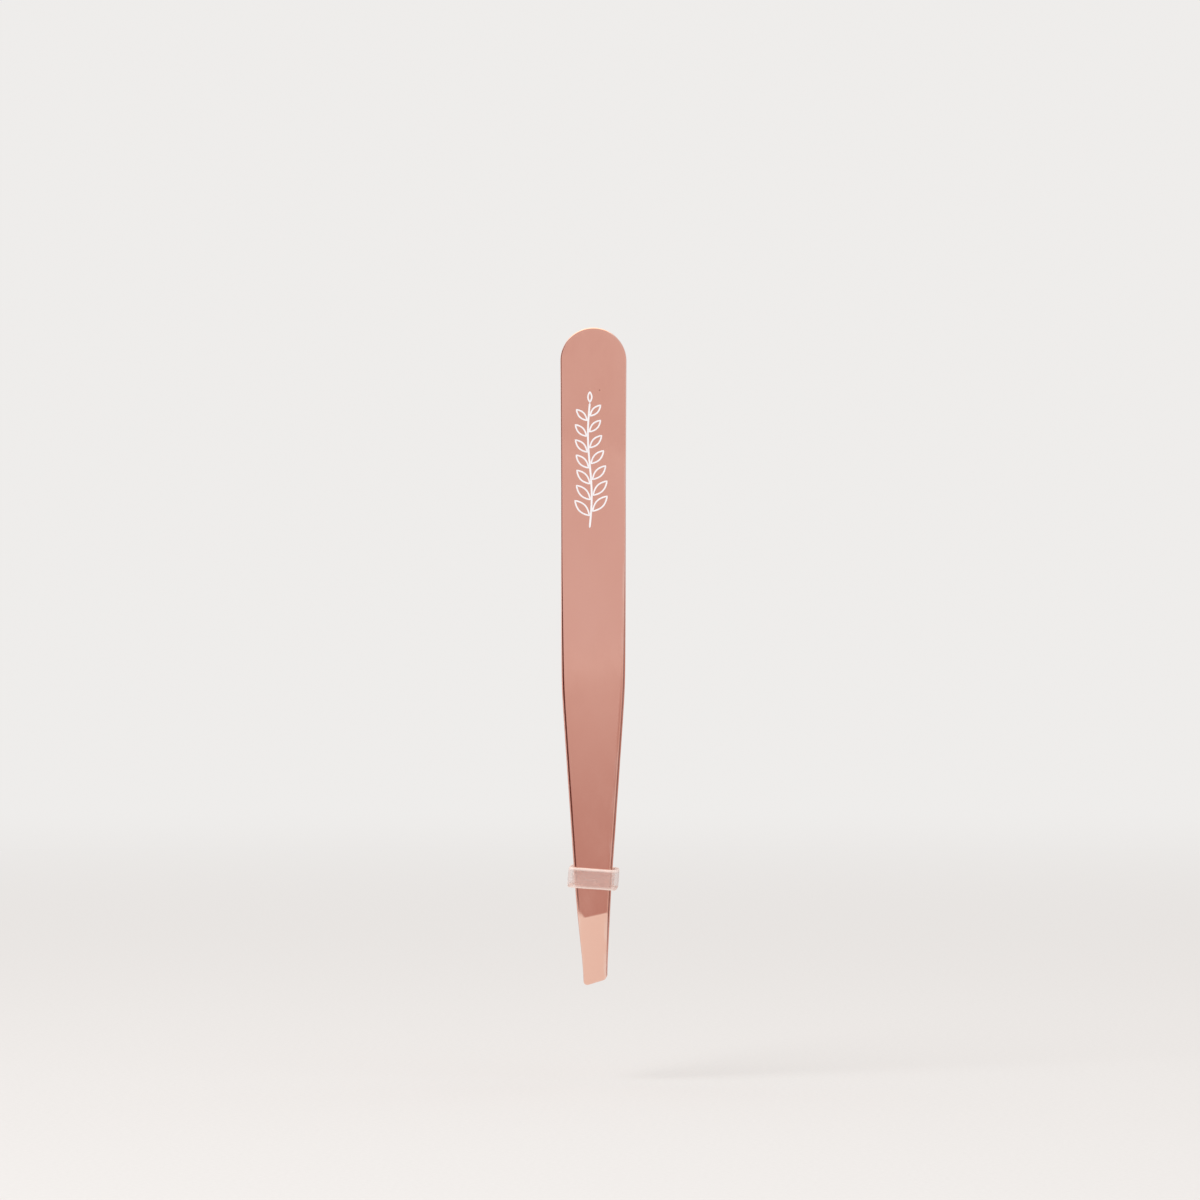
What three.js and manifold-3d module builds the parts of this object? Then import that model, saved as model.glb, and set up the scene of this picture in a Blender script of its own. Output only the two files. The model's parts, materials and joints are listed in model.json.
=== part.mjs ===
// Slant tweezers: two sprung steel arms welded together at a rounded head, with a clear keeper ring round
// both arms just above the slanted tips. Millimetres, +Z up.
//
// Frame: the tips point down and the head is at the top. The lowest corner of the tips is at Z = 0, the two
// arms meet on the plane Y = 0, and the front arm lies on the -Y side. The arms are drawn relaxed, so the
// tips stand apart. Each arm is one stamped strip on the real object. Here it is two solids with a hairline
// gap between them, because the welded end stays still while the free length swings when the arms are
// squeezed.

import * as THREE from "three";
import { mergeVertices } from "three/addons/utils/BufferGeometryUtils.js";
import Module from "manifold-3d";

// Plan outline of an arm.
const LENGTH = 95.25; // tip to head
const HEAD_HALF_WIDTH = 4.76; // the head ends in a half circle of this radius
const SHOULDER_Z = 43; // where the long taper down to the tip begins
const SHOULDER_HALF_WIDTH = 4.48;
const TAPER = 0.07; // half width lost for each millimetre below the shoulder
const TIP_HALF_WIDTH = 1.6;
const TAPER_ROUNDING = 0.15; // softens both ends of the taper
const TIP_OFFSET = 0.29; // the tip stands this far to +X of the arm's centre line
const OFFSET_END_Z = 16; // above this height the arm is centred
const LOW_CORNER = 0.72; // radius of the tip's lower corner, at -X, before the tip is slanted
const HIGH_CORNER = 0.4; // and of its upper corner, at +X
const SLANT = THREE.MathUtils.degToRad(17); // the tip's edge rises towards +X
const SLANT_END_Z = 26; // the slant of the cross-sections has faded out here

// Side profile of an arm. A gap is measured from the plane between the arms to an arm's inner face.
const HEAD_THICKNESS = 1.3;
const BEND_THICKNESS = 1.15;
const TIP_THICKNESS = 0.4;
const WELD_END_Z = 81; // above this height the arms are flat and lie against each other
const WIDEST_Z = 42; // where the closed arms are furthest apart
const WIDEST_GAP = 2.45;
const BEND_GAP = 1.95;
const BEND_Z = 10.05; // the arms bend in towards each other here, along a line parallel to the slant
const JAW_Z = 2; // below this the closed jaws meet face to face
const JAW_CLEARANCE = 0.02; // each jaw's distance from the middle plane when closed

// How far each arm swings between relaxed and closed, and where it flexes.
const SWING = THREE.MathUtils.degToRad(1.2);
const FLEX_HALF_SPAN = 7;
const FLEX_Z = WELD_END_Z - FLEX_HALF_SPAN;
const FLEX_GAP = 0.3;

const EDGE_CHAMFER = 0.25;

// An arm's cross-sections: steps round its rounded ends, and their spacing between those.
const CORNER_STEPS = 5; // round the quarter circle of the tip's lower corner
const HEAD_STEPS = 12; // round the quarter circle from the head's side to its top
const STEP_LENGTH = 2.9;
const END_MARGIN = 0.02; // no other cross-section lies this close to either end of a solid

// Resistance-weld nuggets that join the two arms inside the head.
const NUGGET_RADIUS = 1.6;
const NUGGET_HALF_THICKNESS = 0.4;
const NUGGET_HEIGHTS = { weld_nugget_upper: 90.5, weld_nugget_lower: 85 };
const NUGGET_GAP = 0.3;
const NUGGET_SEGMENTS = 24;

// Keeper ring: a slice of clear soft tube, sitting slightly askew.
const RING_HEIGHT = 3;
const RING_Z = 15.5;
const RING_HALF_WIDTH = 3.6;
const RING_WALL = 0.68;
const RING_PLAY = 0.28; // between the ring and each arm's outer face
const RING_CORNER = 1.3;
const RING_CORNER_SEGMENTS = 8;
const RING_TILT = THREE.MathUtils.degToRad(4);

const { sin, cos, tan, sqrt, min, max, abs, PI } = Math;
const { lerp, smoothstep, smootherstep } = THREE.MathUtils;
const softMin = (a, b, rounding) => (a + b - sqrt((a - b) ** 2 + rounding ** 2)) / 2;
const softMax = (a, b, rounding) => -softMin(-a, -b, rounding);

const HEAD_CENTRE_Z = LENGTH - HEAD_HALF_WIDTH;

// The arms end half a step short of the head's very top, so that the last cross-section has some width.
const HEAD_TOP_Z = HEAD_CENTRE_Z + HEAD_HALF_WIDTH * cos(PI / 4 / HEAD_STEPS);

// Half the width between the arm's long edges at height u, before the head and the tip's corners are rounded.
function edgeHalfWidth(u) {
  const upper = lerp(
    SHOULDER_HALF_WIDTH,
    HEAD_HALF_WIDTH,
    (u - SHOULDER_Z) / (HEAD_CENTRE_Z - SHOULDER_Z),
  );
  const lower = SHOULDER_HALF_WIDTH + TAPER * (u - SHOULDER_Z);
  return softMax(softMin(upper, lower, TAPER_ROUNDING), TIP_HALF_WIDTH, TAPER_ROUNDING);
}

// Height of the tip's edge on the centre line, which puts the lowest point of the lower corner at Z = 0.
const TIP_Z = (edgeHalfWidth(0) - LOW_CORNER) * tan(SLANT) + LOW_CORNER * (1 / cos(SLANT) - 1);

// A side is -1 for the arm's -X edge and 1 for its +X edge.
const tipCorner = (side) => (side < 0 ? LOW_CORNER : HIGH_CORNER);

// How far the outline has turned at height u: 1 at the head's top, -1 at the tip's edge and 0 on the sides.
function turn(u, side) {
  if (u > HEAD_CENTRE_Z) return min(1, (u - HEAD_CENTRE_Z) / HEAD_HALF_WIDTH);
  return -min(1, max(0, TIP_Z + tipCorner(side) - u) / tipCorner(side));
}

// The arm's width at height u from its centre line to one side.
function halfWidth(u, side) {
  const roundness = sqrt(1 - turn(u, side) ** 2);
  if (u > HEAD_CENTRE_Z) return HEAD_HALF_WIDTH * roundness;
  return edgeHalfWidth(u) - tipCorner(side) * (1 - roundness);
}

// Gap from the middle plane to the inner face with the tweezers squeezed shut.
function closedGap(u) {
  if (u > WIDEST_Z) return WIDEST_GAP * (1 - smootherstep(u, WIDEST_Z, WELD_END_Z));
  if (u > BEND_Z) return lerp(WIDEST_GAP, BEND_GAP, ((WIDEST_Z - u) / (WIDEST_Z - BEND_Z)) ** 2);
  return lerp(JAW_CLEARANCE, BEND_GAP, max(0, u - JAW_Z) / (BEND_Z - JAW_Z));
}

// Below the bend the outer face is one flat facet down to the tip, and the metal between the faces thins.
function thickness(u) {
  if (u > BEND_Z) return lerp(BEND_THICKNESS, HEAD_THICKNESS, smoothstep(u, BEND_Z, WELD_END_Z));
  const facetTop = BEND_GAP + BEND_THICKNESS;
  const facetFoot = JAW_CLEARANCE + TIP_THICKNESS;
  return lerp(facetFoot, facetTop, (u - TIP_Z) / (BEND_Z - TIP_Z)) - closedGap(u);
}

// The gap with the arms relaxed: the free length swings out, with its bend spread over the flexing zone.
function relaxedGap(u) {
  const t = min(1, max(0, (u - FLEX_Z) / (2 * FLEX_HALF_SPAN) + 0.5));
  const lever = t > 0 ? 2 * FLEX_HALF_SPAN * (0.5 - t + t ** 3 - t ** 4 / 2) : FLEX_Z - u;
  return closedGap(u) + tan(SWING) * lever;
}

// Rise towards +X of the cross-section at height u: the full slant at the tip, a little less at the bend.
const shear = (u) => tan(SLANT) * (1 - smoothstep(u, JAW_Z, SLANT_END_Z));
const centreX = (u) => TIP_OFFSET * (1 - smoothstep(u, TIP_Z, OFFSET_END_Z));

// Heights of the cross-sections from a to b, close together where the outline turns sharply.
function stations(a, b) {
  const heights = new Set([a, b]);
  const add = (u) => {
    if (u > a + END_MARGIN && u < b - END_MARGIN) heights.add(u);
  };
  for (let i = 1; i <= CORNER_STEPS; i += 1) {
    add(TIP_Z + LOW_CORNER * (1 - cos((i / CORNER_STEPS) * (PI / 2))));
  }
  for (let u = JAW_Z; u < HEAD_CENTRE_Z; u += STEP_LENGTH) add(u);
  for (let i = 0; i < HEAD_STEPS; i += 1) {
    add(HEAD_CENTRE_Z + HEAD_HALF_WIDTH * sin((i / HEAD_STEPS) * (PI / 2)));
  }
  return [...heights].sort((p, q) => p - q);
}

// The front arm from height a to b: a box of many slices, each moved to its place on the bent, tapered strip.
// A slice has three rows of corners: the inner face, the foot of the outer chamfer, and the outer face.
function armGeometry(a, b) {
  const heights = stations(a, b);
  const slices = heights.length - 1;
  const box = new THREE.BoxGeometry(1, 1, 1, 1, 2, slices);
  const at = box.getAttribute("position");
  for (let i = 0; i < at.count; i += 1) {
    const u = heights[Math.round((at.getZ(i) + 0.5) * slices)];
    const row = Math.round(1 - 2 * at.getY(i));
    const side = Math.sign(at.getX(i));
    const chamfer = min(EDGE_CHAMFER, thickness(u) / 3);
    const inset = row === 2 ? chamfer : 0;
    const depth = [0, thickness(u) - chamfer, thickness(u)][row];
    const x = side * (halfWidth(u, side) - inset * sqrt(1 - turn(u, side) ** 2));
    const z = u - inset * turn(u, side);
    at.setXYZ(i, x + centreX(u), -relaxedGap(u) - depth, z + shear(u) * x);
  }
  return box;
}

const wasm = await Module();
wasm.setup();

const MERGE_DISTANCE = 1e-4;

function solidOf(geometry) {
  const bare = geometry.clone().deleteAttribute("normal").deleteAttribute("uv");
  const merged = mergeVertices(bare, MERGE_DISTANCE);
  return new wasm.Manifold(
    new wasm.Mesh({
      numProp: 3,
      vertProperties: merged.getAttribute("position").array,
      triVerts: new Uint32Array(merged.index.array),
    }),
  );
}

function geometryOf(solid) {
  const { vertProperties, triVerts } = solid.getMesh();
  const geometry = new THREE.BufferGeometry();
  geometry.setAttribute("position", new THREE.BufferAttribute(vertProperties, 3));
  geometry.setIndex(new THREE.BufferAttribute(triVerts, 1));
  geometry.computeVertexNormals();
  return geometry;
}

// A disc with its axis along Y, centred on the plane between the arms.
function discGeometry(radius, halfThickness, height) {
  const disc = new THREE.CylinderGeometry(radius, radius, 2 * halfThickness, NUGGET_SEGMENTS);
  return disc.translate(0, 0, height);
}

// The welded end of the front arm, with a pocket in its inner face for its half of each nugget.
function headGeometry() {
  return geometryOf(
    Object.values(NUGGET_HEIGHTS).reduce(
      (solid, height) =>
        solid.subtract(solidOf(discGeometry(NUGGET_RADIUS + NUGGET_GAP, NUGGET_HALF_THICKNESS, height))),
      solidOf(armGeometry(FLEX_Z + FLEX_GAP / 2, HEAD_TOP_Z)),
    ),
  );
}

// A rectangle with rounded corners, centred on the origin.
function roundedRectangle(Path, halfX, halfY, corner) {
  const path = new Path();
  path.absarc(halfX - corner, halfY - corner, corner, 0, PI / 2);
  path.absarc(corner - halfX, halfY - corner, corner, PI / 2, PI);
  path.absarc(corner - halfX, corner - halfY, corner, PI, 1.5 * PI);
  path.absarc(halfX - corner, corner - halfY, corner, 1.5 * PI, 2 * PI);
  return path;
}

function ringGeometry() {
  const halfDepth = relaxedGap(RING_Z) + thickness(RING_Z) + RING_PLAY + RING_WALL;
  const section = roundedRectangle(THREE.Shape, RING_HALF_WIDTH, halfDepth, RING_CORNER);
  section.holes.push(
    roundedRectangle(
      THREE.Path,
      RING_HALF_WIDTH - RING_WALL,
      halfDepth - RING_WALL,
      RING_CORNER - RING_WALL,
    ),
  );
  const ring = new THREE.ExtrudeGeometry(section, {
    depth: RING_HEIGHT,
    bevelEnabled: false,
    curveSegments: RING_CORNER_SEGMENTS,
  });
  return ring.translate(0, 0, -RING_HEIGHT / 2);
}

const roseGold = new THREE.MeshStandardMaterial({ color: "#d9a08c", roughness: 0.2, metalness: 1 });
const weldSteel = new THREE.MeshStandardMaterial({ color: "#8f8a86", roughness: 0.6, metalness: 1 });
const clearVinyl = new THREE.MeshStandardMaterial({
  color: "#ecdcd8",
  roughness: 0.25,
  metalness: 0,
  transparent: true,
  opacity: 0.5,
});

function part(name, geometry, material) {
  const mesh = new THREE.Mesh(geometry, material);
  mesh.name = name;
  return mesh;
}

const head = headGeometry();
const blade = armGeometry(TIP_Z, FLEX_Z - FLEX_GAP / 2);

const frontArm = new THREE.Group();
frontArm.add(part("front_arm_head", head, roseGold), part("front_arm_blade", blade, roseGold));

// The rear arm is the front arm seen in a mirror on the plane between them.
const rearArm = new THREE.Group();
rearArm.scale.y = -1;
rearArm.add(part("rear_arm_head", head, roseGold), part("rear_arm_blade", blade, roseGold));

const nuggets = Object.entries(NUGGET_HEIGHTS).map(([name, height]) =>
  part(name, discGeometry(NUGGET_RADIUS, NUGGET_HALF_THICKNESS, height), weldSteel),
);

const ring = part("tip_ring", ringGeometry(), clearVinyl);
ring.position.z = RING_Z;
ring.rotation.y = RING_TILT;

const tweezers = new THREE.Group();
tweezers.add(frontArm, rearArm, ...nuggets, ring);

export default tweezers;
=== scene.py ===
import json
import math

import bmesh
import bpy
import numpy as np
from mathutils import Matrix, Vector


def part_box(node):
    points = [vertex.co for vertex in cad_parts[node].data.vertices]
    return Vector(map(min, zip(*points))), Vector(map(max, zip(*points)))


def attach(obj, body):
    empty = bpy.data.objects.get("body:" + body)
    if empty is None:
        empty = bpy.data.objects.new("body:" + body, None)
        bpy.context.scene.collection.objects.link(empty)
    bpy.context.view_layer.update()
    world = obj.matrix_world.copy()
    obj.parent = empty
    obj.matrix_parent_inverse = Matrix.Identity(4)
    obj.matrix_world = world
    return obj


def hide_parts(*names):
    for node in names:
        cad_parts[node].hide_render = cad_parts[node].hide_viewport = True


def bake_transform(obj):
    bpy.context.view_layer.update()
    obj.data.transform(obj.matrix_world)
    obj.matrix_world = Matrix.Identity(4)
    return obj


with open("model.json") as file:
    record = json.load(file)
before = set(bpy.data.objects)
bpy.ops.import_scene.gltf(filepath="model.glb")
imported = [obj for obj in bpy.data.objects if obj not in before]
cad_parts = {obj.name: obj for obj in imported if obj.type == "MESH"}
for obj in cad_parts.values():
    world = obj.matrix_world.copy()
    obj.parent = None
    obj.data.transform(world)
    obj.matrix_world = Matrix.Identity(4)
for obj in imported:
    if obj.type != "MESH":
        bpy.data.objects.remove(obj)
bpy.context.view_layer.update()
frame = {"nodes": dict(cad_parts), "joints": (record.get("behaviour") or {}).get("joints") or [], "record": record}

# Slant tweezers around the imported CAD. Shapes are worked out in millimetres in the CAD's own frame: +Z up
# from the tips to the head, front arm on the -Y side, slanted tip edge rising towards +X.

MM = 0.001
QUARTER_TURN = math.pi / 2


def box_mm(node):
    low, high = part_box(node)
    return low / MM, high / MM


# ---- Dimensions read from the frame ------------------------------------------------------------------------

HEAD_HIGH = box_mm("front_arm_head")[1]
RING_LOW, RING_HIGH = box_mm("tip_ring")
MOUNTS = {mount["name"]: mount for mount in frame["record"]["mounts"]}
JOINTS = {joint["name"]: joint for joint in frame["joints"]}

LENGTH = HEAD_HIGH.z
HEAD_RADIUS = HEAD_HIGH.x
HEAD_CENTRE_Z = LENGTH - HEAD_RADIUS
HEAD_THICKNESS = -MOUNTS["head_front_face"]["pos_m"][1] / MM
FLEX_Z = JOINTS["front_arm_squeeze"]["pos_m"][2] / MM
SWING = math.radians(JOINTS["front_arm_squeeze"]["range_deg"][1])
RING_TRAVEL = JOINTS["ring_slide"]["range_m"][1] / MM

# ---- The arm's shape, mostly as shares of those ------------------------------------------------------------

SHOULDER_Z = 0.4515 * LENGTH  # the long taper down to the tip begins here
SHOULDER_HALF_WIDTH = 0.941 * HEAD_RADIUS
TAPER = 0.07  # half width lost for each unit of height below the shoulder
TAPER_ROUNDING = 0.0315 * HEAD_RADIUS
TIP_HALF_WIDTH = 0.336 * HEAD_RADIUS
TIP_OFFSET = 0.0609 * HEAD_RADIUS  # the tip stands this far to +X of the arm's centre line
OFFSET_END_Z = 0.168 * LENGTH
LOW_CORNER = 0.1513 * HEAD_RADIUS
HIGH_CORNER = 0.084 * HEAD_RADIUS
TIP_CORNER = {-1: LOW_CORNER, 1: HIGH_CORNER}  # a side is -1 for the left edge and 1 for the right edge
SLANT = math.radians(17)
SLANT_END_Z = 0.273 * LENGTH

BEND_THICKNESS = 0.885 * HEAD_THICKNESS
TIP_THICKNESS = 0.308 * HEAD_THICKNESS
FLEX_HALF_SPAN = 7  # the arm's bending is spread this far above and below the CAD's hinge
WELD_END_Z = FLEX_Z + FLEX_HALF_SPAN  # above this height the arms lie flat against each other
WIDEST_Z = 0.441 * LENGTH
WIDEST_GAP = 1.885 * HEAD_THICKNESS
BEND_GAP = 1.5 * HEAD_THICKNESS
BEND_Z = 0.1055 * LENGTH
JAW_Z = 0.021 * LENGTH
JAW_CLEARANCE = 0.02

# The outer face is slightly crowned, with edges that are eased more along the taper than on the head.
EDGE_RADIUS_HEAD = 0.17
EDGE_RADIUS_TAPER = 0.44
# The radius changes from one to the other between these heights.
EASING_LOW_Z = SHOULDER_Z - 3
EASING_HIGH_Z = SHOULDER_Z + 24

INNER_EDGE_RADIUS = 0.14
CROWN = 0.015
CROWN_POWER = 4
BEND_ROUNDING = 0.04
LEFT_BEND_ROUNDING = 0.2  # the bend is softer where it meets the left edge
LEFT_FACET_BEVEL = 0.1
LEFT_BEVEL_START = 0.75  # share of the half width
LEFT_BEVEL_FADE = (0.2, 0.8)  # shares of the way from the tip up to the bend


def clamped_share(value, low, high):
    """0 below low, 1 above high, straight between."""
    return min(1.0, max(0.0, (value - low) / (high - low)))


def ramp(value, low, high):
    """0 below low, 1 above high, smooth between."""
    t = clamped_share(value, low, high)
    return t * t * (3 - 2 * t)


def soft_ramp(value, low, high):
    """The same with smoother ends."""
    t = clamped_share(value, low, high)
    return t * t * t * (t * (6 * t - 15) + 10)


def mix(a, b, t):
    return a + (b - a) * t


def soft_min(a, b, rounding):
    return (a + b - math.hypot(a - b, rounding)) / 2


def edge_half_width(u):
    """Half the width between the long edges at height u, before the head and the tip are rounded."""
    upper_share = (u - SHOULDER_Z) / (HEAD_CENTRE_Z - SHOULDER_Z)
    upper = mix(SHOULDER_HALF_WIDTH, HEAD_RADIUS, upper_share)
    lower = SHOULDER_HALF_WIDTH + TAPER * (u - SHOULDER_Z)
    tapered = soft_min(upper, lower, TAPER_ROUNDING)
    return -soft_min(-tapered, -TIP_HALF_WIDTH, TAPER_ROUNDING)


# Height of the tip's edge on the centre line, which puts the lowest point of the slanted tip at height 0.
TIP_Z = (edge_half_width(0) - LOW_CORNER) * math.tan(SLANT) + LOW_CORNER * (1 / math.cos(SLANT) - 1)


def turn(u, side):
    """How far the outline has turned at height u: 1 at the head's top, -1 at the tip's edge, 0 between."""
    if u > HEAD_CENTRE_Z:
        return min(1.0, (u - HEAD_CENTRE_Z) / HEAD_RADIUS)
    corner = TIP_CORNER[side]
    return -min(1.0, max(0.0, TIP_Z + corner - u) / corner)


def half_width(u, side):
    roundness = math.sqrt(1 - turn(u, side) ** 2)
    if u > HEAD_CENTRE_Z:
        return HEAD_RADIUS * roundness
    return edge_half_width(u) - TIP_CORNER[side] * (1 - roundness)


def closed_gap(u):
    """From the middle plane to the inner face, with the tweezers squeezed shut."""
    if u > WIDEST_Z:
        return WIDEST_GAP * (1 - soft_ramp(u, WIDEST_Z, WELD_END_Z))
    if u > BEND_Z:
        return mix(WIDEST_GAP, BEND_GAP, ((WIDEST_Z - u) / (WIDEST_Z - BEND_Z)) ** 2)
    return mix(JAW_CLEARANCE, BEND_GAP, max(0.0, u - JAW_Z) / (BEND_Z - JAW_Z))


def swing_out(u):
    """How far the relaxed arm stands out from its squeezed place, its turn spread over the flexing zone."""
    t = min(1.0, max(0.0, (u - FLEX_Z) / (2 * FLEX_HALF_SPAN) + 0.5))
    lever = 2 * FLEX_HALF_SPAN * (0.5 - t + t**3 - t**4 / 2) if t > 0 else FLEX_Z - u
    return math.tan(SWING) * lever


def inner_depth(u):
    return closed_gap(u) + swing_out(u)


def outer_depth(u, across):
    """Depth of the outer face; across runs from -1 to 1 between the arm's edges."""
    metal = mix(BEND_THICKNESS, HEAD_THICKNESS, ramp(u, BEND_Z, WELD_END_Z))
    face = closed_gap(max(u, BEND_Z)) + metal
    facet_share = (u - TIP_Z) / (BEND_Z - TIP_Z)
    facet = mix(JAW_CLEARANCE + TIP_THICKNESS, BEND_GAP + BEND_THICKNESS, facet_share)
    left_share = ramp(-across, LEFT_BEVEL_START, 1)
    facet -= LEFT_FACET_BEVEL * left_share * ramp(facet_share, *LEFT_BEVEL_FADE)
    rounding = mix(BEND_ROUNDING, LEFT_BEND_ROUNDING, left_share)
    crown = CROWN * abs(across) ** CROWN_POWER * half_width(u, 1) / HEAD_RADIUS
    return soft_min(face, facet, rounding) + swing_out(u) - crown


def shear(u):
    """Rise towards +X of the cross-section at height u."""
    return math.tan(SLANT) * (1 - ramp(u, JAW_Z, SLANT_END_Z))


def centre_x(u):
    return TIP_OFFSET * (1 - ramp(u, TIP_Z, OFFSET_END_Z))


# ---- Mesh helpers ------------------------------------------------------------------------------------------

MERGE_DISTANCE = 1e-8  # metres


def mesh_from(bm, name):
    mesh = bpy.data.meshes.new(name)
    bm.to_mesh(mesh)
    bm.free()
    return mesh


def closed_mesh(bm, name):
    """A mesh from patches that share their borders."""
    bmesh.ops.remove_doubles(bm, verts=bm.verts, dist=MERGE_DISTANCE)
    bmesh.ops.dissolve_degenerate(bm, edges=bm.edges, dist=MERGE_DISTANCE)
    bmesh.ops.recalc_face_normals(bm, faces=bm.faces)
    return mesh_from(bm, name)


def grid_faces(bm, rows, loop_rows=False, loop_columns=False):
    """Joins a grid of vertices with four-sided faces."""
    row_count = len(rows) if loop_rows else len(rows) - 1
    column_count = len(rows[0]) if loop_columns else len(rows[0]) - 1
    for i in range(row_count):
        low = rows[i]
        high = rows[(i + 1) % len(rows)]
        for j in range(column_count):
            k = (j + 1) % len(low)
            bm.faces.new([low[j], low[k], high[k], high[j]])


def store(mesh, name, values, kind="FLOAT"):
    """Keeps one value for each vertex, for the material to read."""
    attribute = mesh.attributes.new(name, kind, "POINT")
    flat = np.asarray(values, np.float32).ravel()
    attribute.data.foreach_set("vector" if kind == "FLOAT_VECTOR" else "value", flat)


def add_object(name, mesh, material):
    made = bpy.data.objects.new(name, mesh)
    bpy.context.scene.collection.objects.link(made)
    mesh.materials.append(material)
    for polygon in mesh.polygons:
        polygon.use_smooth = True
    return made


# ---- An arm ------------------------------------------------------------------------------------------------

FACE_COLUMNS = 16
OUTER_ROUNDING_STEPS = 6
INNER_ROUNDING_STEPS = 3
OUTER_MARGIN = 0.07  # width of the narrow strip of flat face beside each rounding
INNER_MARGIN = 0.06
OUTER_METAL_SHARE = 0.45  # an edge's radius takes at most this share of the metal's thickness
OUTER_WIDTH_SHARE = 0.8  # and this share of the half width
INNER_METAL_SHARE = 0.3
INNER_WIDTH_SHARE = 0.5

HEAD_STEPS = 28  # cross-sections round the quarter circle from the head's side to its top
CORNER_STEPS = 9  # and round each corner of the tip
STRAIGHT_LOW_Z = TIP_Z + 1.0
STRAIGHT_HIGH_Z = HEAD_CENTRE_Z - 0.3
STRAIGHT_SPACING = 0.7
BEND_SPACING = 0.05
BEND_STATIONS = range(-6, 25)  # counted upwards from the bend
JAW_SPACING = 0.08
JAW_STATIONS = range(-1, 2)  # counted upwards from the jaw's upper end
LEAST_SPACING = 0.012


def arm_stations():
    """Heights of the cross-sections: closest together round the head, at the bend and round the tip."""
    heights = set()
    for i in range(HEAD_STEPS):
        heights.add(HEAD_CENTRE_Z + HEAD_RADIUS * math.sin(QUARTER_TURN * i / HEAD_STEPS))
    for corner in TIP_CORNER.values():
        for i in range(CORNER_STEPS + 1):
            heights.add(TIP_Z + corner * (1 - math.cos(QUARTER_TURN * i / CORNER_STEPS)))
    heights |= {float(u) for u in np.arange(STRAIGHT_LOW_Z, STRAIGHT_HIGH_Z, STRAIGHT_SPACING)}
    heights |= {BEND_Z + BEND_SPACING * i for i in BEND_STATIONS}
    heights |= {JAW_Z + JAW_SPACING * i for i in JAW_STATIONS}
    ordered = sorted(heights)
    return [u for i, u in enumerate(ordered) if i == 0 or u - ordered[i - 1] > LEAST_SPACING]


def outer_edge_radius(u):
    eased = mix(EDGE_RADIUS_TAPER, EDGE_RADIUS_HEAD, ramp(u, EASING_LOW_Z, EASING_HIGH_Z))
    metal = outer_depth(u, -1) - inner_depth(u)
    return min(eased, OUTER_METAL_SHARE * metal, OUTER_WIDTH_SHARE * half_width(u, -1))


def inner_edge_radius(u, metal):
    return min(INNER_EDGE_RADIUS, INNER_METAL_SHARE * metal, INNER_WIDTH_SHARE * half_width(u, -1))


def edge_rows(u, across):
    """(inset, depth, edge share) from the inner face round the arm's edge to the outer face."""
    inner = inner_depth(u)
    outer = outer_depth(u, across)
    big = outer_edge_radius(u)
    small = inner_edge_radius(u, outer - inner)
    rows = [(small + INNER_MARGIN, inner, 0.0)]
    for i in range(INNER_ROUNDING_STEPS + 1):
        angle = QUARTER_TURN * i / INNER_ROUNDING_STEPS
        rows.append((small * (1 - math.sin(angle)), inner + small * (1 - math.cos(angle)), 1.0))
    for i in range(OUTER_ROUNDING_STEPS + 1):
        angle = QUARTER_TURN * i / OUTER_ROUNDING_STEPS
        inset = big * (1 - math.cos(angle))
        rows.append((inset, outer - big + big * math.sin(angle), math.cos(angle / 2)))
    rows.append((big + OUTER_MARGIN, outer, 0.0))
    return rows


def arm_point(u, share, inset, depth):
    """A point of the front arm. Share runs from -1 to 1 between the arm's edges, both moved in by inset."""
    side = -1 if share < 0 else 1
    x = share * max(0.0, half_width(u, side) - inset * math.sqrt(1 - turn(u, side) ** 2))
    z = u - inset * mix(turn(u, -1), turn(u, 1), (share + 1) / 2) + shear(u) * x
    return Vector((x + centre_x(u), -depth, z)) * MM


def arm_mesh(name, mirrored):
    """
    One arm: a strip of rounded cross-sections, with its head and tip closed by the same edge rounding.
    For the finish, each vertex keeps its height, its share in an edge and whether it is on the inner face, which
    also gets painted shade.
    """
    bm = bmesh.new()
    along = bm.verts.layers.float.new("along")
    edge = bm.verts.layers.float.new("edge")
    inner = bm.verts.layers.float.new("inner")

    def vertex(u, share, inset, depth, edge_share):
        point = arm_point(u, share, inset, depth)
        if mirrored:
            point.y = -point.y
        made = bm.verts.new(point)
        made[along] = u
        made[edge] = edge_share
        made[inner] = depth == inner_depth(u)
        return made

    def line_across(u, row, on_outer_face=False):
        """Vertices from the left edge to the right one, joining the same row of both edge roundings."""
        left = edge_rows(u, -1)[row]
        right = edge_rows(u, 1)[row]
        line = []
        for j in range(FACE_COLUMNS + 1):
            across = 2 * j / FACE_COLUMNS - 1
            inset, depth, edge_share = (mix(a, b, j / FACE_COLUMNS) for a, b in zip(left, right))
            if on_outer_face:
                depth = outer_depth(u, across)
            line.append(vertex(u, across, inset, depth, edge_share))
        return line

    stations = arm_stations()
    for side in (-1, 1):
        grid_faces(bm, [[vertex(u, side, *row) for row in edge_rows(u, side)] for u in stations])
    grid_faces(bm, [line_across(u, 0) for u in stations])
    grid_faces(bm, [line_across(u, -1, on_outer_face=True) for u in stations])
    last_row = len(edge_rows(0, 1)) - 1
    for u in (stations[0], stations[-1]):
        cap = [line_across(u, row) for row in range(last_row)]
        cap.append(line_across(u, last_row, on_outer_face=True))
        grid_faces(bm, cap)
    return closed_mesh(bm, name)


# ---- White print on the front arm: a plain leafy sprig -----------------------------------------------------

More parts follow.
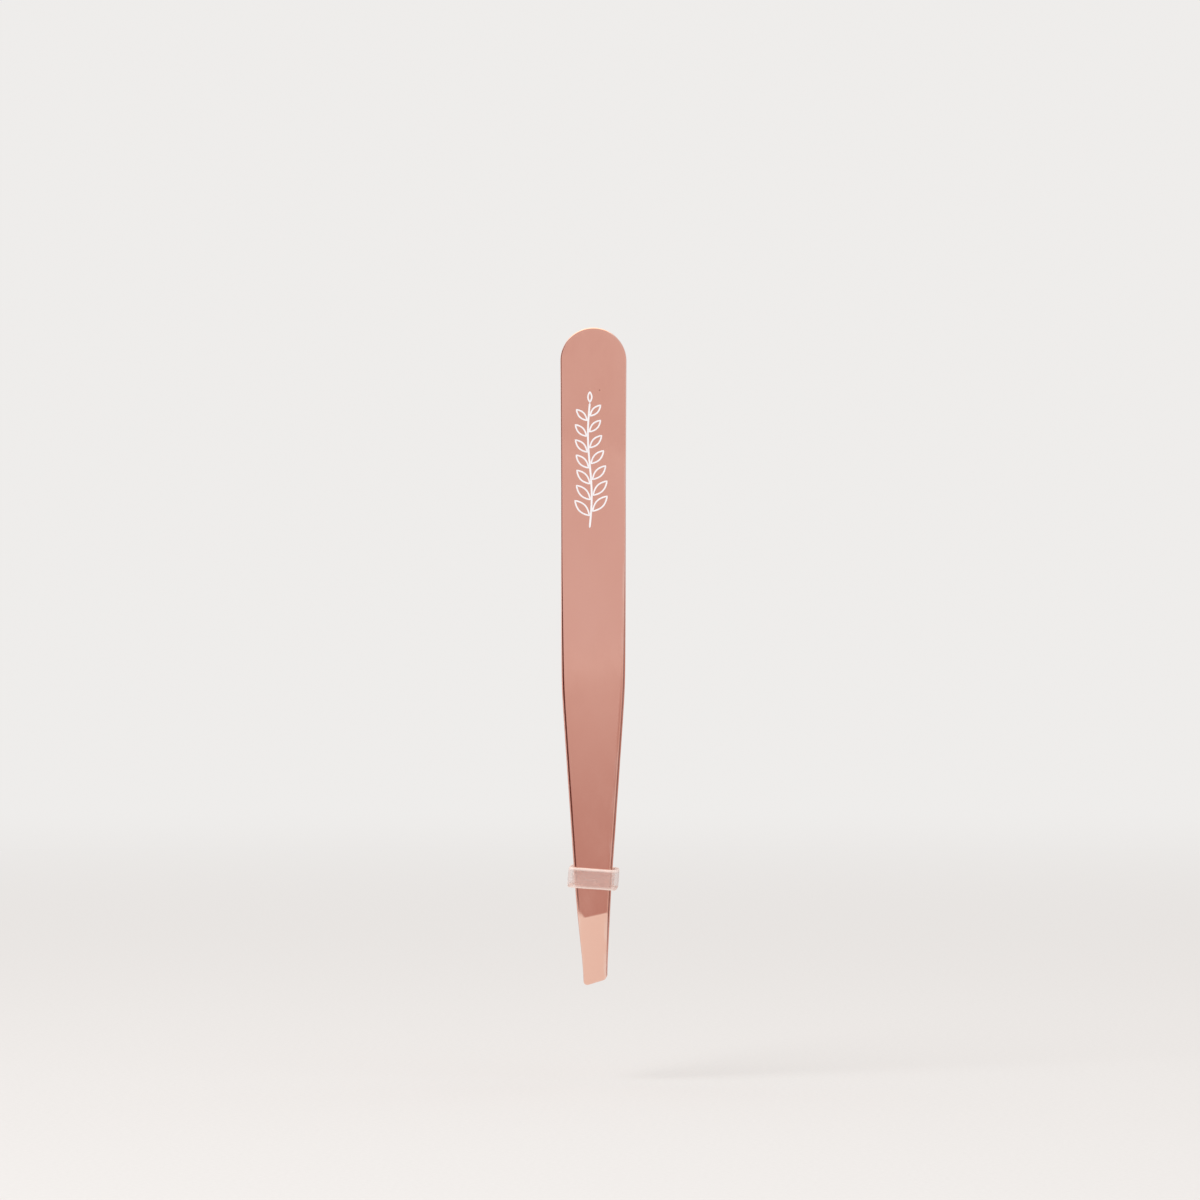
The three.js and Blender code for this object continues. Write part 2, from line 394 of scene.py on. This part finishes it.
PRINT_LOW = 0.695 * LENGTH
PRINT_HIGH = 0.9 * LENGTH
PRINT_HEIGHT = PRINT_HIGH - PRINT_LOW
PRINT_X = -0.1 * HEAD_RADIUS
STROKE = 0.28
LEAF_STROKE = 0.8 * STROKE
INK_THICKNESS = 0.012
INK_FLAT_SHARE = 0.7  # of a stroke's width; the rest slopes down to its edges
STROKE_END_SHARE = 0.15  # of a stroke's width, left at the very end of its round ends

STEM_HEIGHT = PRINT_HEIGHT * 0.93
STEM_SWAY = 0.28
STEM_STEPS = 80
LEAF_PAIRS = 7
FIRST_LEAF = 0.1  # share of the stem's height
LEAVES_SPAN = 0.76  # from the first leaf to the last
RIGHT_LEAF_RISE = 0.035  # the right leaves sit this much further up the stem than the left ones
LEAF_LEAN = math.radians(44)
LOWEST_LEAF_LENGTH = 3.1  # what a leaf at the stem's foot would have
HIGHEST_LEAF_LENGTH = 2.0  # and one at its top
LEAF_HALF_WIDTH = 0.19  # share of the leaf's length
LEAF_ROUNDNESS = 0.9
LEAF_STEPS = 16
BUD_GAP = 0.1
BUD_LENGTH = PRINT_HEIGHT * 0.075


def on_front_face(x, u, lift):
    across = x / half_width(u, 1)
    return Vector((x, -outer_depth(u, across) - lift, u)) * MM


def end_share(path, here, width):
    """Share of its full width that an open stroke has here: less than 1 only in its round ends."""
    nearest_end = min((here - path[0]).length, (here - path[-1]).length)
    from_end = min(1.0, 2 * nearest_end / width)
    return max(STROKE_END_SHARE, math.sqrt(max(0.0, 1 - (1 - from_end) ** 2)))


def add_stroke(bm, points, width, closed=False):
    """A flat ribbon of ink along a path of (x, height) points, with round ends when it is open."""
    path = [Vector(point) for point in points]
    count = len(path)
    sections = []
    for i, here in enumerate(path):
        before = path[(i - 1) % count] if closed or i > 0 else here
        after = path[(i + 1) % count] if closed or i < count - 1 else here
        direction = (after - before).normalized()
        side = Vector((-direction.y, direction.x))
        half = width / 2
        if not closed:
            half *= end_share(path, here, width)
        flat = half * INK_FLAT_SHARE
        rising = [(-half, -INK_THICKNESS), (-half, INK_THICKNESS / 2), (-flat, INK_THICKNESS)]
        falling = [(flat, INK_THICKNESS), (half, INK_THICKNESS / 2), (half, -INK_THICKNESS)]
        corners = []
        for offset, lift in rising + falling:
            spot = here + side * offset
            corners.append(bm.verts.new(on_front_face(spot.x, spot.y, lift)))
        sections.append(corners)
    grid_faces(bm, sections, loop_rows=closed, loop_columns=True)
    if not closed:
        bm.faces.new(sections[0])
        bm.faces.new(sections[-1])


def stem_x(share):
    return PRINT_X + STEM_SWAY * math.sin(2 * math.pi * share)


def leaf_outline(base, angle, length):
    """A pointed oval that starts at its base and leans by angle from straight up."""
    along = Vector((math.sin(angle), math.cos(angle)))
    side = Vector((along.y, -along.x))
    points = []
    for i in range(2 * LEAF_STEPS):
        going_up = i <= LEAF_STEPS
        t = (i if going_up else 2 * LEAF_STEPS - i) / LEAF_STEPS
        bulge = LEAF_HALF_WIDTH * length * math.sin(math.pi * t) ** LEAF_ROUNDNESS
        points.append(base + along * (length * t) + side * (bulge if going_up else -bulge))
    return points


def print_mesh():
    bm = bmesh.new()
    stem = []
    for i in range(STEM_STEPS + 1):
        stem.append((stem_x(i / STEM_STEPS), PRINT_LOW + STEM_HEIGHT * i / STEM_STEPS))
    add_stroke(bm, stem, STROKE)
    for pair in range(LEAF_PAIRS):
        share = FIRST_LEAF + LEAVES_SPAN * pair / (LEAF_PAIRS - 1)
        length = mix(LOWEST_LEAF_LENGTH, HIGHEST_LEAF_LENGTH, share)
        for side in (-1, 1):
            spot = share + (RIGHT_LEAF_RISE if side > 0 else 0)
            base = Vector((stem_x(spot) + side * LEAF_STROKE, PRINT_LOW + STEM_HEIGHT * spot))
            add_stroke(bm, leaf_outline(base, side * LEAF_LEAN, length), LEAF_STROKE, closed=True)
    bud = Vector((stem_x(1), PRINT_LOW + STEM_HEIGHT + BUD_GAP))
    add_stroke(bm, leaf_outline(bud, 0, BUD_LENGTH), LEAF_STROKE, closed=True)
    return closed_mesh(bm, "front_print")


# ---- The keeper ring: a slice of clear soft tube stretched round both arms ---------------------------------

RING_TILT = math.radians(4)
TILT_COS = math.cos(RING_TILT)
TILT_SIN = math.sin(RING_TILT)
RING_CENTRE_Z = (RING_LOW.z + RING_HIGH.z) / 2
BOX_HALF_HEIGHT = (RING_HIGH.z - RING_LOW.z) / 2

# The half sizes of the tilted ring, from those of the upright box that it just fits.
RING_HALF_WIDTH = (RING_HIGH.x * TILT_COS - BOX_HALF_HEIGHT * TILT_SIN) / math.cos(2 * RING_TILT)
RING_HALF_HEIGHT = (BOX_HALF_HEIGHT * TILT_COS - RING_HIGH.x * TILT_SIN) / math.cos(2 * RING_TILT)

RING_WALL = 0.68
RING_PLAY = 0.06  # between the ring and each arm's outer face
RING_CORNER = 0.5
RING_STEPS = 144
WALL_VARIATION = 0.06  # twice on the way round, the wall is thinner by this share
SIDE_BELLY = 0.05  # at the sides, the middle of the wall stands this much further out than its rims
RIM_RADIUS = 0.22
RIM_STEPS = 4
WALL_STEPS = 10
RIM_WAVE = 0.012
RIM_WAVE_SHIFT = 0.7
RIM_WAVE_ROOM = 0.985  # share of the height that leaves room for the wavy rims

UPPER_CUT_REACH = 0.5  # how far along the wall the frosting and painted highlight of each cut rim show
LOWER_CUT_REACH = 0.34


def rounded_rectangle(half_x, half_y, corner, count):
    """Points and outward directions, evenly spaced along a rectangle with rounded corners."""
    straight_x = 2 * (half_x - corner)
    straight_y = 2 * (half_y - corner)
    arc = corner * QUARTER_TURN
    total = 2 * (straight_x + straight_y) + 4 * arc
    sides = [
        (Vector((half_x, corner - half_y)), 0, straight_y),
        (Vector((half_x - corner, half_y)), 90, straight_x),
        (Vector((-half_x, half_y - corner)), 180, straight_y),
        (Vector((corner - half_x, -half_y)), 270, straight_x),
    ]
    points = []
    for i in range(count):
        walked = total * i / count
        for start, heading, straight in sides:
            facing = math.radians(heading)
            normal = Vector((math.cos(facing), math.sin(facing)))
            forward = Vector((-normal.y, normal.x))
            if walked <= straight:
                points.append((start + forward * walked, normal))
                break
            walked -= straight
            if walked <= arc:
                turned = facing + walked / corner
                centre = start + forward * straight - normal * corner
                outward = Vector((math.cos(turned), math.sin(turned)))
                points.append((centre + outward * corner, outward))
                break
            walked -= arc
    return points


def wall_section():
    """(distance outwards, height) round the ring's wall: up its outside, over the top and down its inside."""
    corner_height = RING_HALF_HEIGHT - RIM_RADIUS
    # Each corner's distance outwards, bottom or top, and the direction in degrees that its arc starts from.
    corners = [(RING_WALL, -1, -90), (RING_WALL, 1, 0), (0, 1, 90), (0, -1, 180)]
    points = []
    for outward, up, first in corners:
        centre_out = outward - RIM_RADIUS if outward else RIM_RADIUS
        for i in range(RIM_STEPS + 1):
            angle = math.radians(first + 90 * i / RIM_STEPS)
            out = centre_out + RIM_RADIUS * math.cos(angle)
            points.append((out, up * corner_height + RIM_RADIUS * math.sin(angle)))
        wall_is_next = (outward > 0) == (up < 0)
        if wall_is_next:
            for step in range(1, WALL_STEPS):
                points.append((outward, mix(up, -up, step / WALL_STEPS) * corner_height))
    return points


def ring_mesh():
    """The wall's section, carried round a rounded rectangle. Its rims wave a little and its sides bulge."""
    bm = bmesh.new()
    inner_x = RING_HALF_WIDTH - RING_WALL
    inner_y = outer_depth(RING_CENTRE_Z, 0) + RING_PLAY
    path = rounded_rectangle(inner_x, inner_y, RING_CORNER, RING_STEPS)
    loops = []
    for i, (point, outward) in enumerate(path):
        phase = 2 * math.pi * i / RING_STEPS
        wave = RIM_WAVE * math.sin(2 * phase + RIM_WAVE_SHIFT) + RIM_WAVE * math.sin(5 * phase)
        wall_share = 1 - WALL_VARIATION * (1 - math.cos(2 * phase)) / 2
        side_belly = SIDE_BELLY * abs(outward.x)
        loop = []
        for out, up in wall_section():
            belly = side_belly * (1 - (up / RING_HALF_HEIGHT) ** 2)
            spread = out * wall_share - side_belly + belly
            x = point.x + outward.x * spread
            y = point.y + outward.y * spread
            z = up * RIM_WAVE_ROOM + wave * up / RING_HALF_HEIGHT
            turned_x = x * TILT_COS + z * TILT_SIN
            turned_z = z * TILT_COS - x * TILT_SIN
            loop.append(bm.verts.new(Vector((turned_x, y, RING_CENTRE_Z + turned_z)) * MM))
        loops.append(loop)
    grid_faces(bm, loops, loop_rows=True, loop_columns=True)
    return closed_mesh(bm, "keeper_ring")


def ring_cut_shares(mesh):
    """1 on the ring's cut rims, fading to 0 along its wall, over a longer way from the upper rim. It marks their
    frosting and their painted highlight.
    """
    shares = []
    for vertex in mesh.vertices:
        x = vertex.co.x / MM
        z = vertex.co.z / MM - RING_CENTRE_Z
        up = z * TILT_COS + x * TILT_SIN
        reach = UPPER_CUT_REACH if up > 0 else LOWER_CUT_REACH
        shares.append(ramp(abs(up), RING_HALF_HEIGHT - reach, RING_HALF_HEIGHT - reach / 3))
    return shares


# ---- Material helpers --------------------------------------------------------------------------------------


class Shader:
    """Short ways to add and join a material's nodes."""

    def __init__(self, tree):
        self.tree = tree
        tree.nodes.clear()

    def node(self, kind, inputs=None, **settings):
        made = self.tree.nodes.new(kind)
        for key, value in settings.items():
            setattr(made, key, value)
        for key, value in (inputs or {}).items():
            if isinstance(value, bpy.types.NodeSocket):
                self.tree.links.new(value, made.inputs[key])
            else:
                made.inputs[key].default_value = value
        return made

    def math(self, operation, a, b=0.0):
        return self.node("ShaderNodeMath", {0: a, 1: b}, operation=operation).outputs[0]

    def scaled(self, value, factor):
        return self.math("MULTIPLY", value, factor)

    def weighted_sum(self, base, *terms):
        """Base plus each term's value times its weight."""
        for value, weight in terms:
            base = self.math("ADD", base, self.scaled(value, weight))
        return base

    def attribute(self, name, output="Fac"):
        return self.node("ShaderNodeAttribute", attribute_name=name).outputs[output]

    def position(self, scale=(1, 1, 1)):
        """The point's rest position in millimetres, stretched by scale."""
        where = self.attribute("rest_mm", "Vector")
        return self.node("ShaderNodeVectorMath", {0: where, 1: scale}, operation="MULTIPLY").outputs[0]

    def object_position(self):
        """The point's position in metres."""
        return self.node("ShaderNodeTexCoord").outputs["Object"]

    def noise(self, vector, scale, detail=3.0, roughness=0.5):
        inputs = {"Vector": vector, "Scale": scale, "Detail": detail, "Roughness": roughness}
        return self.node("ShaderNodeTexNoise", inputs).outputs["Fac"]

    def cells(self, vector, scale):
        """Distance to the nearest of scattered points."""
        return self.node("ShaderNodeTexVoronoi", {"Vector": vector, "Scale": scale}).outputs["Distance"]

    def spread(self, value, low, high, out_low=0.0, out_high=1.0, smooth=True):
        """Turns low to high into out_low to out_high, and holds the value beyond them."""
        kind = "SMOOTHSTEP" if smooth else "LINEAR"
        inputs = {"Value": value, "From Min": low, "From Max": high, "To Min": out_low, "To Max": out_high}
        return self.node("ShaderNodeMapRange", inputs, interpolation_type=kind).outputs[0]

    def falling(self, value, low, high):
        """1 below low, 0 above high."""
        return self.spread(value, low, high, 1.0, 0.0)

    def mixed(self, share, a, b):
        """Value a where share is 0, and value b where it is 1."""
        return self.node("ShaderNodeMix", {0: share, 2: a, 3: b}).outputs[0]

    def colour(self, share, a, b):
        """Colour a where share is 0, and colour b where it is 1."""
        return self.node("ShaderNodeMix", {0: share, 6: a, 7: b}, data_type="RGBA").outputs[2]

    def bump(self, height, distance_mm, strength=1.0, normal=None):
        inputs = {"Height": height, "Distance": distance_mm * MM, "Strength": strength}
        if normal is not None:
            inputs["Normal"] = normal
        return self.node("ShaderNodeBump", inputs).outputs[0]

    def surface(self, **inputs):
        named = {name.replace("_", " "): value for name, value in inputs.items()}
        self.output(self.node("ShaderNodeBsdfPrincipled", named).outputs[0])

    def output(self, socket):
        self.node("ShaderNodeOutputMaterial", {"Surface": socket})


def new_shader(name):
    material = bpy.data.materials.new(name)
    material.use_nodes = True
    return material, Shader(material.node_tree)


# ---- Materials ---------------------------------------------------------------------------------------------
# A noise's size is set by its scale, roughly in cycles for each millimetre. Bump heights are in millimetres.


def rose_gold_material():
    """Polished rose-gold plate: faint polishing lines, smudges, hairline scratches, paler, worn edges and painted
    shade on the inner faces between the arms.
    """
    material, s = new_shader("rose_gold_plate")
    along = s.attribute("along")
    edge = s.attribute("edge")
    inner = s.attribute("inner")

    plate = (0.93, 0.60, 0.49, 1)
    deep_plate = (0.915, 0.575, 0.465, 1)
    worn_plate = (0.95, 0.70, 0.61, 1)
    # painted shade for the inner faces, which face each other between the arms
    painted_shade_inner_plate = (0.50, 0.26, 0.20, 1)
    pit_colour = (0.28, 0.12, 0.09, 1)

    clouds = s.noise(s.position((0.12, 0.12, 0.05)), 1.0, 3)
    wear = s.noise(s.position((0.6, 0.6, 0.25)), 1.0, 5)
    rub = s.math("MULTIPLY", edge, s.spread(wear, 0.42, 0.68))
    pit = s.falling(s.cells(s.position(), 0.16), 0.01, 0.018)
    colour = s.colour(s.spread(clouds, 0.35, 0.65), plate, deep_plate)
    colour = s.colour(s.scaled(rub, 0.75), colour, worn_plate)
    # Painted shade: the inner faces, between the arms, are darkened.
    colour = s.colour(s.scaled(inner, 0.8), colour, painted_shade_inner_plate)
    colour = s.colour(s.scaled(pit, 0.6), colour, pit_colour)

    # Polishing lines run along the arm, and grinding lines across the facet below the bend.
    polished = s.noise(s.position((26, 26, 0.45)), 1.0, 2)
    ground = s.noise(s.position((0.5, 8, 42)), 1.0, 2)
    below_bend = s.falling(along, BEND_Z - 0.1, BEND_Z + 0.1)
    lines = s.mixed(below_bend, polished, ground)

    smudge = s.spread(s.noise(s.position((0.28, 0.28, 0.16)), 1.0, 4, 0.6), 0.45, 0.75)
    line_height = s.spread(lines, 0.3, 0.7)
    roughness = s.weighted_sum(0.12, (smudge, 0.05), (line_height, 0.04), (inner, 0.04), (rub, 0.06))

    # A scratch runs wherever a long, narrow noise crosses one value.
    scratch_field = s.noise(s.position((3.5, 3.5, 0.06)), 1.0, 1)
    scratch = s.spread(s.math("ABSOLUTE", s.math("SUBTRACT", scratch_field, 0.52)), 0.0, 0.006)
    normal = s.bump(lines, 0.0012, 0.5)
    normal = s.bump(s.noise(s.position(), 3.2, 4), 0.0025, 0.25, normal)
    normal = s.bump(scratch, 0.0008, 0.35, normal)
    normal = s.bump(s.math("SUBTRACT", 1.0, pit), 0.01, 0.6, normal)
    s.surface(Base_Color=colour, Metallic=1.0, Roughness=roughness, Normal=normal)
    return material


def ink_material():
    """White pad-printed ink: even, slightly chalky, with tiny pinholes."""
    material, s = new_shader("white_ink")
    thin_ink = (0.92, 0.89, 0.91, 1)
    full_ink = (0.97, 0.95, 0.96, 1)
    pinhole = (0.86, 0.70, 0.65, 1)
    fine = s.noise(s.position(), 14.0, 3)
    patches = s.noise(s.position(), 1.6, 2)
    colour = s.colour(s.spread(patches, 0.35, 0.7), thin_ink, full_ink)
    colour = s.colour(s.spread(fine, 0.68, 0.76), colour, pinhole)
    roughness = s.spread(fine, 0.3, 0.7, 0.38, 0.55)
    s.surface(Base_Color=colour, Roughness=roughness, Normal=s.bump(fine, 0.004, 0.4))
    return material


def vinyl_material():
    """Clear soft vinyl tube: slightly milky, with faint drawn lines round the wall and frosted cut rims that are
    also whitened as a painted highlight.
    """
    material, s = new_shader("clear_vinyl")
    clear_tint = (0.84, 0.64, 0.58, 1)
    milky_tint = (0.90, 0.71, 0.65, 1)
    # the cut rims' colour: their frosting, made whiter as a painted highlight
    cut_frost_and_highlight_tint = (0.97, 0.80, 0.73, 1)
    cloud = s.spread(s.noise(s.position((0.5, 0.5, 0.5)), 1.0, 2), 0.3, 0.7)
    drawn = s.noise(s.position((0.3, 0.3, 5)), 1.0, 3)
    frost = s.noise(s.position(), 9.0, 3)
    cut = s.attribute("cut")

    colour = s.colour(cloud, clear_tint, milky_tint)
    # Painted highlight: the cut rims get a whiter colour and more cover, for the bright lines along them, on top
    # of their real frosting.
    colour = s.colour(cut, colour, cut_frost_and_highlight_tint)
    roughness = s.weighted_sum(0.2, (cut, 0.25), (cloud, 0.08))
    cover = s.weighted_sum(s.spread(drawn, 0.3, 0.7, 0.28, 0.34, smooth=False), (cut, 0.55))
    normal = s.bump(drawn, 0.006, 0.5)
    normal = s.bump(frost, 0.01, s.scaled(cut, 0.6), normal)
    s.surface(Base_Color=colour, Roughness=roughness, IOR=1.5, Alpha=cover, Normal=normal)
    return material


def weld_material():
    """Fused steel of the weld nuggets, hidden inside the head: coarse grain with heat tints."""
    material, s = new_shader("weld_steel")
    grey_steel = (0.42, 0.40, 0.38, 1)
    straw_tint = (0.50, 0.40, 0.26, 1)
    where = s.object_position()
    grain = s.cells(where, 4.2 / MM)
    heat = s.noise(where, 0.9 / MM, 3)
    colour = s.colour(s.spread(heat, 0.35, 0.65), grey_steel, straw_tint)
    roughness = s.spread(grain, 0.0, 0.6, 0.4, 0.65)
    s.surface(Base_Color=colour, Metallic=1.0, Roughness=roughness, Normal=s.bump(grain, 0.01, 0.5))
    return material


# ---- Pieces ------------------------------------------------------------------------------------------------


def add_piece(name, mesh, material):
    """Adds a piece that keeps each vertex's rest place, so that its finish stays put if the piece moves."""
    store(mesh, "rest_mm", [vertex.co / MM for vertex in mesh.vertices], "FLOAT_VECTOR")
    return add_object(name, mesh, material)


def bend_with(piece):
    """Bakes the piece's placement into its mesh; it does not bend the piece."""
    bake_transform(piece)


def add_arm(side, material):
    name = f"{side}_arm_strip"
    arm = add_piece(name, arm_mesh(name, mirrored=side == "rear"), material)
    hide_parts(f"{side}_arm_head", f"{side}_arm_blade")
    bend_with(arm)


def add_print():
    front_print = add_piece("front_print", print_mesh(), ink_material())
    bend_with(front_print)


def add_ring():
    mesh = ring_mesh()
    store(mesh, "cut", ring_cut_shares(mesh))
    ring = add_piece("keeper_ring", mesh, vinyl_material())
    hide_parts("tip_ring")
    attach(ring, "ring")


def finish_nuggets():
    weld_steel = weld_material()
    for name in ("weld_nugget_upper", "weld_nugget_lower"):
        nugget = frame["nodes"][name]
        for slot in nugget.material_slots:
            slot.material = weld_steel


rose_gold = rose_gold_material()
add_arm("front", rose_gold)
add_arm("rear", rose_gold)
add_print()
add_ring()
finish_nuggets()

# ---- Studio ------------------------------------------------------------------------------------------------

FLOOR_CLEARANCE = 6  # left under the ring when it has slid all the way down
FLOOR_Z = RING_LOW.z - RING_TRAVEL - FLOOR_CLEARANCE
VIEW_AZIMUTH = math.radians(2.3)
VIEW_WIDTH = 1.8287 * LENGTH  # of the picture, measured at the tweezers
AIM_X = 0.94  # the tweezers stand a little to the left of the picture's middle
AIM_Z = 0.5855 * LENGTH  # and below it
AIM = Vector((AIM_X, 0, AIM_Z)) * MM

# In metres:
VIEW_DISTANCE = 0.9
CLIP_START = 0.01
FLOOR_RADIUS = 1.6
FLOOR_SEGMENTS = 96


def paper_material():
    """Pale paper that fades out with distance, sooner in reflections. It can't be seen from below."""
    material, s = new_shader("studio_floor")
    shaded_paper = (0.80, 0.785, 0.77, 1)
    bright_paper = (0.82, 0.805, 0.79, 1)
    where = s.object_position()
    distance = s.node("ShaderNodeVectorMath", {0: where}, operation="LENGTH").outputs["Value"]
    fibre = s.noise(where, 1.5 / MM, 2)
    tone = s.colour(s.spread(fibre, 0.3, 0.7), shaded_paper, bright_paper)
    paper = s.node("ShaderNodeBsdfDiffuse", {"Color": tone}).outputs[0]
    clear = s.node("ShaderNodeBsdfTransparent").outputs[0]

    to_camera = s.node("ShaderNodeLightPath").outputs["Is Camera Ray"]
    fade_in_reflections = s.spread(distance, 0.07, 0.17)
    fade_to_camera = s.spread(distance, 0.2, 1.2)
    fade = s.mixed(to_camera, fade_in_reflections, fade_to_camera)
    from_below = s.node("ShaderNodeNewGeometry").outputs["Backfacing"]
    fade = s.math("MAXIMUM", fade, s.math("MULTIPLY", to_camera, from_below))
    s.output(s.node("ShaderNodeMixShader", {0: fade, 1: paper, 2: clear}).outputs[0])
    return material


def add_floor():
    bm = bmesh.new()
    bmesh.ops.create_circle(bm, cap_ends=True, segments=FLOOR_SEGMENTS, radius=FLOOR_RADIUS)
    floor = add_object("studio_floor", mesh_from(bm, "studio_floor"), paper_material())
    floor.location.z = FLOOR_Z * MM


def add_softbox(name, place, size, power, mirrored):
    """A soft light aimed at the object. Only reflections see it if mirrored, else only matt surfaces do."""
    light = bpy.data.lights.new(name, "AREA")
    light.shape = "RECTANGLE"
    light.size, light.size_y = size
    light.energy = power
    lamp = bpy.data.objects.new(name, light)
    lamp.location = place
    lamp.rotation_euler = (AIM - Vector(place)).to_track_quat("-Z", "Y").to_euler()
    lamp.visible_glossy = mirrored
    lamp.visible_diffuse = not mirrored
    bpy.context.scene.collection.objects.link(lamp)


def studio_panels(s, direction):
    """
    What the polished metal mirrors, by direction: z is 0 at the level of the object, -1 straight below it and
    1 straight above it. The panels stand in front of the object and behind it alike.
    """
    x, y, z = s.node("ShaderNodeSeparateXYZ", {0: direction}).outputs
    side_wall = (0.82, 0.72, 0.68, 1)
    low_panel = (0.90, 0.855, 0.84, 1)
    lower_panel = (0.513, 0.315, 0.29, 1)
    level_panel = (0.75, 0.62, 0.61, 1)
    upper_panel = (0.71, 0.575, 0.572, 1)
    ceiling_light = (2.4, 2.05, 1.65, 1)
    dark_flag = (0.10, 0.02, 0.018, 1)

    panels = s.colour(s.spread(z, -0.045, 0.045), lower_panel, level_panel)
    panels = s.colour(s.spread(z, 0.06, 0.14), panels, upper_panel)
    panels = s.colour(s.falling(z, -0.35, -0.13), panels, low_panel)
    panels = s.colour(s.spread(s.math("ABSOLUTE", y), 0.0, 0.3), side_wall, panels)
    overhead = s.math("SUBTRACT", s.scaled(z, 0.98), s.scaled(x, 0.18))
    panels = s.colour(s.spread(overhead, 0.6, 0.92), panels, ceiling_light)

    # A dark flag, in front and to the left, draws the thin dark line along the front arm's left edge.
    flag = s.math("MULTIPLY", s.falling(x, -0.38, -0.28), s.falling(y, -0.12, 0.0))
    flag = s.math("MULTIPLY", flag, s.spread(z, -0.18, -0.09))
    flag = s.math("MULTIPLY", flag, s.falling(z, 0.3, 0.5))
    return s.colour(flag, panels, dark_flag)


def add_world():
    """The studio around the object: a pale backdrop, even light for matt surfaces and panels for metal."""
    world = bpy.data.worlds.new("studio")
    world.use_nodes = True
    # Each kind of ray sees its own colour. Sampling the world as a light would mix those colours up.
    world.cycles.sampling_method = "NONE"
    bpy.context.scene.world = world
    s = Shader(world.node_tree)
    even_light = (0.92, 0.90, 0.89, 1)
    backdrop = (0.86, 0.845, 0.83, 1)
    rays = s.node("ShaderNodeLightPath").outputs
    colour = studio_panels(s, s.node("ShaderNodeTexCoord").outputs["Generated"])
    colour = s.colour(rays["Is Diffuse Ray"], colour, even_light)
    colour = s.colour(rays["Is Camera Ray"], colour, backdrop)
    background = s.node("ShaderNodeBackground", {"Color": colour, "Strength": 1.0})
    s.node("ShaderNodeOutputWorld", {"Surface": background.outputs[0]})


def add_camera():
    camera = bpy.data.cameras.new("camera")
    camera.angle = 2 * math.atan(VIEW_WIDTH * MM / 2 / VIEW_DISTANCE)
    camera.clip_start = CLIP_START
    viewer = bpy.data.objects.new("camera", camera)
    offset = Vector((math.sin(VIEW_AZIMUTH), -math.cos(VIEW_AZIMUTH), 0)) * VIEW_DISTANCE
    viewer.location = AIM + offset
    viewer.rotation_euler = (-offset).to_track_quat("-Z", "Y").to_euler()
    bpy.context.scene.collection.objects.link(viewer)
    bpy.context.scene.camera = viewer


add_floor()
add_world()
add_camera()
add_softbox("softbox_key", place=(-0.4, -0.5, 0.7), size=(0.5, 0.5), power=2.0, mirrored=False)
add_softbox("strip_left", place=(-0.7, 0.2, 0.1), size=(0.15, 0.8), power=0.3, mirrored=True)
bpy.context.scene.view_settings.view_transform = "Standard"
